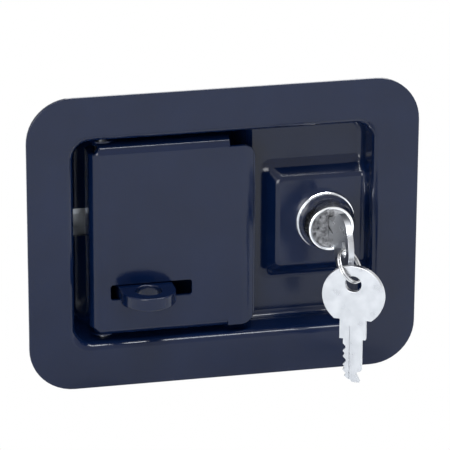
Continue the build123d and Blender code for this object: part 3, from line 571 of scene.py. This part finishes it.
def makePaddle():
    size = paddleSize
    half = size["height"] / 2
    foldEnd = size["face"] + size["fold"]
    plate = block("paddlePlate", (size["left"], size["face"], -half), (size["right"], foldEnd, half))
    edit(plate)
    pick("FACE", lambda face: face.normal.y > 0.9 or face.normal.x > 0.9)
    bpy.ops.mesh.delete(type="FACE")
    leaveEdit()
    front = lambda edge: lies(edge, 1, size["face"] * mm) and middle(edge).x < (size["right"] - 0.1) * mm
    back = lambda edge: lies(edge, 0, size["left"] * mm) and abs(edge.verts[0].co.y - edge.verts[1].co.y) > mm
    roundEdges(plate, size["bend"] * mm, 8, lambda edge: front(edge) or back(edge))
    thicken(plate, size["sheet"])
    tidyMesh(plate)
    # the corners are cut away where two folds would meet
    for side in (-1, 1):
        carve(plate, rod("corner", (size["left"], 8, side * half), size["notch"], 20, "Y"))
    # the lip: a flat strip whose edge curls back in short steps, cut to round corners
    clearSelection()
    bendX = size["lipEnd"] - size["lipCurved"]
    bpy.ops.mesh.primitive_plane_add(size=1, rotation=(math.pi / 2, 0, 0),
                                     location=((size["right"] - 0.4 + bendX) / 2 * mm, size["face"] * mm, size["lipZ"] * mm))
    lip = named("lip")
    lip.scale = ((bendX - size["right"] + 0.4) * mm, size["lipHeight"] * mm, 1)
    fixPlace(lip)
    turn = 2 * math.atan(size["lipCurl"] / size["lipCurved"])
    radius = size["lipCurved"] / math.sin(turn)
    edit(lip)
    pick("EDGE", lambda edge: lies(edge, 0, bendX * mm))
    for step in range(8):
        here, there = turn * step / 8, turn * (step + 1) / 8
        stride = (radius * (math.sin(there) - math.sin(here)), radius * (math.cos(here) - math.cos(there)), 0)
        bpy.ops.mesh.extrude_region_move(TRANSFORM_OT_translate={"value": Vector(stride) * mm})
    bpy.ops.mesh.select_all(action="SELECT")
    bpy.ops.mesh.normals_make_consistent(inside=False)
    if bmesh.from_edit_mesh(lip.data).faces[:][0].normal.y > 0:
        bpy.ops.mesh.flip_normals()
    leaveEdit()
    thicken(lip, size["sheet"])
    outline = roundedPlane("lipOutline", 4 * size["lipRound"] + 20, size["lipHeight"], size["lipRound"],
                           (size["lipEnd"] - 2 * size["lipRound"] - 10, size["face"] - 2, size["lipZ"]), 12)
    pushIn(outline, 8)
    carve(lip, outline, "INTERSECT")
    carve(plate, lip, "UNION")
    tidyMesh(plate)
    slotLeft, slotRight = size["slot"]
    slot = roundedPlane("slot", slotRight - slotLeft, size["slotHeight"], size["slotRound"],
                        ((slotLeft + slotRight) / 2, size["face"] - 2, size["slotZ"]), 6)
    pushIn(slot, 5)
    carve(plate, slot)
    x, y = size["pivot"]
    carve(plate, rod("pivotHole", (x, y, 0), size["pivotRound"], 90))
    sharp = sharpTest(55)
    awayFromSeam = lambda edge: sharp(edge) and abs(middle(edge).x - size["right"] * mm) > 0.6 * mm
    roundEdges(plate, size["edge"] * mm, 2, awayFromSeam)
    tidyMesh(plate)
    edit(plate)
    bpy.ops.mesh.select_all(action="SELECT")
    bpy.ops.mesh.delete_loose()
    bpy.ops.mesh.select_all(action="SELECT")
    bpy.ops.mesh.fill_holes(sides=8)
    bpy.ops.mesh.select_all(action="SELECT")
    bpy.ops.mesh.normals_make_consistent(inside=False)
    leaveEdit()
    return finishPiece(plate, "paddle_body", "blackCoatAndShade", "paddle")


makePaddle()


# ---- padlock eye ----
eyeSize = {
    "x": -28.1, "z": -19.0, "thick": 4.7, "width": 19.4, "front": -14.8, "back": 18.5, "hole": 4.6, "holeY": -6.0,
    "tenon": 12.0, "sheet": 1.5, "edge": 0.55,
}


def makeEye():
    size = eyeSize
    x, z, half = size["x"], size["z"], size["thick"] / 2
    side = size["width"] / 2
    eye = block("eyePlate", (x - side, size["front"], z - half), (x + side, size["back"], z + half))
    corner = lambda edge: lies(edge, 1, size["front"] * mm) and abs(edge.verts[0].co.z - edge.verts[1].co.z) > mm
    roundEdges(eye, (size["width"] / 2 - 0.01) * mm, 20, corner)
    tidyMesh(eye, 0.03)
    carve(eye, rod("eyeHole", (x, size["holeY"], z), size["hole"], 12, "Z", 64))
    inFront = lambda edge: middle(edge).y < (size["back"] - 0.1) * mm
    roundEdges(eye, size["edge"] * mm, 4, lambda edge: sharpTest(50)(edge) and inFront(edge))
    peg = size["tenon"] / 2
    tenon = block("tenon", (x - peg, size["back"] - 0.5, z - half), (x + peg, size["back"] + size["sheet"], z + half))
    carve(eye, tenon, "UNION")
    return finishPiece(eye, "pan_body", "blackCoatAndShade", "padlock_eye")


makeEye()
print("pan, paddle and eye made")


# ---- keys ----
keySize = {
    "bow": 11.0, "bowThick": 2.1, "thick": 1.9, "hole": 2.9, "holeEdge": 6.6, "neck": 9.2, "neckEnd": 27.1,
    "blade": 6.6, "length": 43.2, "bowStep": 19.8, "cuts": (0.9, 0.5, 1.1, 0.6, 1.0), "cutPitch": 2.5, "cutStart": 3.2,
    "cutFlat": 0.8, "groove": 1.1, "grooveDeep": 0.5, "grooveLength": 21.0, "edge": 0.18,
}


def makeKey(name):
    # flat in XZ with its hole at the origin, its bow's end up and its face to the front
    size = keySize
    top = size["holeEdge"]
    shoulder, tip = top - size["neckEnd"], top - size["length"]
    half = size["thick"] / 2
    key = rod(name, (0, 0, top - size["bow"]), size["bow"], size["bowThick"], "Y", 96)
    step = top - size["bowStep"]
    carve(key, block("bowEnd", (-20, -5, step - 10), (20, 5, step)))
    neckHalf = size["neck"] / 2
    carve(key, block("neck", (-neckHalf, -half, shoulder), (neckHalf, half, top - size["bow"])), "UNION")
    bladeHalf = size["blade"] / 2
    blade = block("blade", (-bladeHalf, -half, tip), (bladeHalf, half, shoulder + 0.5))
    # the tip is cut to a point, low on the left
    for side, rise, x in ((1, bladeHalf, bladeHalf / 2), (-1, bladeHalf * 0.67, -bladeHalf / 2)):
        wedge = block("wedge", (-5, -5, -5), (5, 5, 5))
        wedge.location = Vector((side * bladeHalf, 0, tip + rise)) * mm
        lean = math.atan2(rise, bladeHalf / 2)
        wedge.rotation_euler = (0, side * lean, 0)
        fixPlace(wedge)
        lowCorner = Vector((math.sin(lean) * side * 5, 0, -math.cos(lean) * 5)) * mm
        edit(wedge)
        bpy.ops.mesh.select_all(action="SELECT")
        bpy.ops.transform.translate(value=lowCorner)
        leaveEdit()
        carve(blade, wedge)
    carve(key, blade, "UNION")
    for i, depth in enumerate(size["cuts"]):
        z = shoulder - size["cutStart"] - i * size["cutPitch"]
        flatHalf = size["cutFlat"] / 2
        cut = block("cut", (-bladeHalf - 4, -5, z - flatHalf), (-bladeHalf + depth, 5, z + flatHalf))
        edit(cut)
        pick("FACE", lambda face: face.normal.x < -0.9)
        widen = (size["cutFlat"] + 2 * (4 + depth)) / size["cutFlat"]
        bpy.ops.transform.resize(value=(1, 1, widen), center_override=(0, 0, z * mm))
        leaveEdit()
        carve(key, cut)
    carve(key, rod("keyHole", (0, 0, 0), size["hole"], 8, "Y", 48))
    for side in (-1, 1):
        x = side * size["groove"] / 2
        y = side * half
        bottom = y - side * size["grooveDeep"]
        lowY = min(y, bottom) - (0.5 if side < 0 else 0)
        highY = max(y, bottom) + (0.5 if side > 0 else 0)
        grooveHalf = size["groove"] / 2
        grooveEnd = (x + grooveHalf, highY, tip + size["grooveLength"])
        carve(key, block("groove", (x - grooveHalf, lowY, tip - 1), grooveEnd))
    tidyMesh(key)
    aboveStep = lambda edge: middle(edge).z > (step + 0.2) * mm
    roundEdges(key, size["edge"] * mm, 2, lambda edge: sharpTest(50)(edge) and aboveStep(edge))
    tidyMesh(key)
    return key


def placeKey(key, hole, right, outward):
    # right and outward are where the key's right side and its face point
    right, outward = Vector(right).normalized(), Vector(outward).normalized()
    up = outward.cross(right)
    key.matrix_world = Matrix((
        (right.x, -outward.x, up.x, hole[0] * mm), (right.y, -outward.y, up.y, hole[1] * mm),
        (right.z, -outward.z, up.z, hole[2] * mm), (0, 0, 0, 1),
    ))
    return fixPlace(key)


spareSize = {"yaw": 27.0, "hole": (38.7, -32.9, -9.3), "lockHole": (38.2, -24.3, 0.0), "ringYaw": 50.0}


def makeKeys():
    spare = makeKey("spareKeyBlank")
    clearSelection()
    inserted = spare.copy()
    inserted.data = spare.data.copy()
    inserted.name = "insertedKeyBlank"
    bpy.context.collection.objects.link(inserted)
    yaw = math.radians(spareSize["yaw"])
    right, outward = (math.cos(yaw), -math.sin(yaw), 0), (-math.sin(yaw), -math.cos(yaw), 0)
    placeKey(spare, spareSize["hole"], right, outward)
    placeKey(inserted, spareSize["lockHole"], (0, 0, 1), (1, 0, 0))
    finishPiece(spare, "spare_body", "keyMetal", "spare_key")
    finishPiece(inserted, "plug_body", "keyMetal", "key_in_lock")


makeKeys()
print("keys made")


# ---- lock body: bezel and threaded barrel, turned about the lock's axis ----
lockSize = {
    "x": 38.2, "pad": 6.5, "back": 27.6, "bore": 5.95, "seat": 7.15, "seatDepth": -0.7, "front": -3.2, "rim": 8.1,
    "dome": (10.15, 4.5), "bulge": 0.5, "base": 10.65, "baseTop": 5.0, "thread": 9.5, "threadDeep": 0.45, "pitch": 1.0,
    "flat": 8.0, "steps": 96, "rimRound": 0.15,
}


def turned(name, profile, x, steps):
    # profile is (radius, y) points; the shape goes round an axis along Y at x
    clearSelection()
    bpy.ops.mesh.primitive_plane_add(size=mm)
    piece = named(name)
    edit(piece)
    bpy.ops.mesh.select_mode(type="VERT")
    bpy.ops.mesh.select_all(action="SELECT")
    bpy.ops.mesh.merge(type="CENTER")
    spots = [Vector((x + radius, y, 0)) * mm for radius, y in profile]
    bpy.ops.transform.translate(value=spots[0])
    for here, there in zip(spots, spots[1:]):
        bpy.ops.mesh.extrude_region_move(TRANSFORM_OT_translate={"value": there - here})
    bpy.ops.mesh.select_all(action="SELECT")
    bpy.ops.mesh.remove_doubles(threshold=0.0005 * mm)
    bpy.ops.mesh.select_all(action="SELECT")
    bpy.ops.mesh.spin(steps=steps, angle=2 * math.pi, center=(x * mm, 0, 0), axis=(0, 1, 0))
    bpy.ops.mesh.select_all(action="SELECT")
    bpy.ops.mesh.remove_doubles(threshold=0.002 * mm)
    bpy.ops.mesh.normals_make_consistent(inside=False)
    leaveEdit()
    return piece


def makeLockBody():
    size = lockSize
    domeR, domeY = size["dome"]
    rimRound = size["rimRound"]
    lip = size["front"] + rimRound
    root = size["thread"] - size["threadDeep"]
    profile = [
        (size["bore"], size["back"]), (size["bore"], size["seatDepth"]), (size["seat"], size["seatDepth"]),
        (size["seat"], lip), (size["seat"] + rimRound, size["front"]),
        (size["rim"] - 2 * rimRound, size["front"]),
    ]
    for i in range(13):
        t = i / 12
        out = size["bulge"] * 4 * t * (1 - t)
        radius = size["rim"] + (domeR - size["rim"]) * t + 0.966 * out
        profile.append((radius, lip + (domeY - lip) * t - 0.257 * out))
    profile += [
        (domeR - 0.35, domeY + 0.1), (domeR - 0.35, size["baseTop"]), (size["base"] - 0.2, size["baseTop"]),
        (size["base"], size["baseTop"] + 0.2), (size["base"], size["pad"]), (root, size["pad"]),
    ]
    y = size["pad"] + size["pitch"]
    while y < size["back"] - 1:
        profile += [(root, y - 0.1), (size["thread"], y + 0.4), (size["thread"], y + 0.5)]
        y += size["pitch"]
    profile += [(root, size["back"] - 0.3), (size["thread"] - 1, size["back"]), (size["bore"], size["back"])]
    body = turned("lockBarrel", profile, size["x"], size["steps"])
    for side in (-1, 1):
        near, far = size["x"] + side * size["flat"], size["x"] + side * 14
        farCorner = (max(near, far), size["back"] + 1, 14)
        carve(body, block("barrelFlat", (min(near, far), size["pad"] + 0.01, -14), farCorner))
    return finishPiece(body, "pan_body", "chrome", "lock_body", angle=30)


makeLockBody()


# ---- coils: the split ring and both springs ----
coilSizes = {
    "splitRing": {"wire": 0.8, "radius": 6.038, "pitch": 0.82, "turns": 2, "body": "ring_body", "node": "key_ring"},
    "boltCoil": {"wire": 0.9, "radius": 3.5, "pitch": 3.057, "turns": 7, "body": "pan_body", "node": "bolt_spring"},
    "paddleCoil": {
        "wire": 1.2, "radius": 3.2, "pitch": 1.3, "turns": 6, "body": "pan_body", "node": "paddle_spring",
        "legs": (-5.3, 10.8),
    },
}


def makeCoil(name, toPlace):
    size = coilSizes[name]
    clearSelection()
    place, turn = (size["radius"] * mm, 0, 0), (math.pi / 2, 0, 0)
    bpy.ops.mesh.primitive_circle_add(vertices=12, radius=size["wire"] / 2 * mm, location=place, rotation=turn)
    coil = fixPlace(named(name))
    wind = coil.modifiers.new("wind", "SCREW")
    wind.axis = "Z"
    wind.angle = 2 * math.pi
    wind.screw_offset = size["pitch"] * mm
    wind.iterations = size["turns"]
    wind.steps = wind.render_steps = 48
    bpy.ops.object.modifier_apply(modifier="wind")
    top = size["pitch"] * size["turns"] * mm
    edit(coil)
    for height, leg in ((0, 0), (top, 1)):
        isOpen = lambda edge: len(edge.link_faces) < 2
        atEnd = lambda edge: abs(middle(edge).z - height) < size["wire"] * 0.6 * mm and abs(middle(edge).y) < 0.2 * mm
        pick("EDGE", lambda edge: isOpen(edge) and atEnd(edge))
        bpy.ops.mesh.edge_face_add()
        if "legs" in size:
            bpy.ops.mesh.extrude_region_move(TRANSFORM_OT_translate={"value": (0, size["legs"][leg] * mm, 0)})
    bpy.ops.mesh.select_all(action="SELECT")
    bpy.ops.mesh.normals_make_consistent(inside=False)
    leaveEdit()
    coil.matrix_world = toPlace
    fixPlace(coil)
    return finishPiece(coil, size["body"], "springSteel", size["node"], angle=50)


def planeAt(place, right, normal):
    right, normal = Vector(right).normalized(), Vector(normal).normalized()
    across = normal.cross(right)
    columns = Matrix((right, across, normal)).transposed().to_4x4()
    columns.translation = Vector(place) * mm
    return columns


keyHole, spareHole = Vector(spareSize["lockHole"]), Vector(spareSize["hole"])
hang = (spareHole - keyHole).normalized()
ringYaw = math.radians(spareSize["ringYaw"])
through = Vector((math.cos(ringYaw), math.sin(ringYaw), 0))
across = (through - hang * through.dot(hang)).normalized()
ringNormal = hang.cross(across)
ringMiddle = (keyHole + spareHole) / 2 - ringNormal * coilSizes["splitRing"]["pitch"]
makeCoil("splitRing", planeAt(ringMiddle, across, ringNormal))
makeCoil("boltCoil", planeAt((-27.45, 25.05, 0), (0, 0, 1), (1, 0, 0)))
makeCoil("paddleCoil", planeAt((-42.0, 7.0, 10.0), (1, 0, 0), (0, 0, 1)))
print("lock and coils made")


# ---- finishes of the pieces that keep their own shape ----
nodeFinish = {
    "pan": "blackCoatAndShade", "padlock_eye": "blackCoatAndShade", "paddle": "blackCoatAndShade",
    "mounting_studs": "zincPlate", "pivot_pin": "zincPlate", "pivot_clip": "springSteel",
    # the pivot bushes are bronze; the black coat on them is painted shade, so they show dark
    "pivot_bushes": "blackCoatAndShade", "paddle_actuator": "zincPlate", "paddle_spring": "springSteel",
    "latch_bolt": "zincPlate", "bolt_rod": "zincPlate", "rod_clip": "springSteel",
    "bolt_spring": "springSteel", "bolt_housing": "zincPlate", "housing_rivets": "zincPlate",
    "lock_body": "chrome", "lock_plug": "plugMetal", "lock_wafers": "brass", "lock_washer": "zincPlate",
    "lock_nut": "chrome", "lock_cam": "zincPlate", "cam_washer": "zincPlate", "cam_screw": "zincPlate",
    "key_in_lock": "keyMetal", "spare_key": "keyMetal", "key_ring": "springSteel",
}


def paintPiece(piece, finish):
    piece.data.materials.clear()
    piece.data.materials.append(materials[finish])


for nodeName, finish in nodeFinish.items():
    paintPiece(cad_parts[nodeName], finish)
print("materials made")
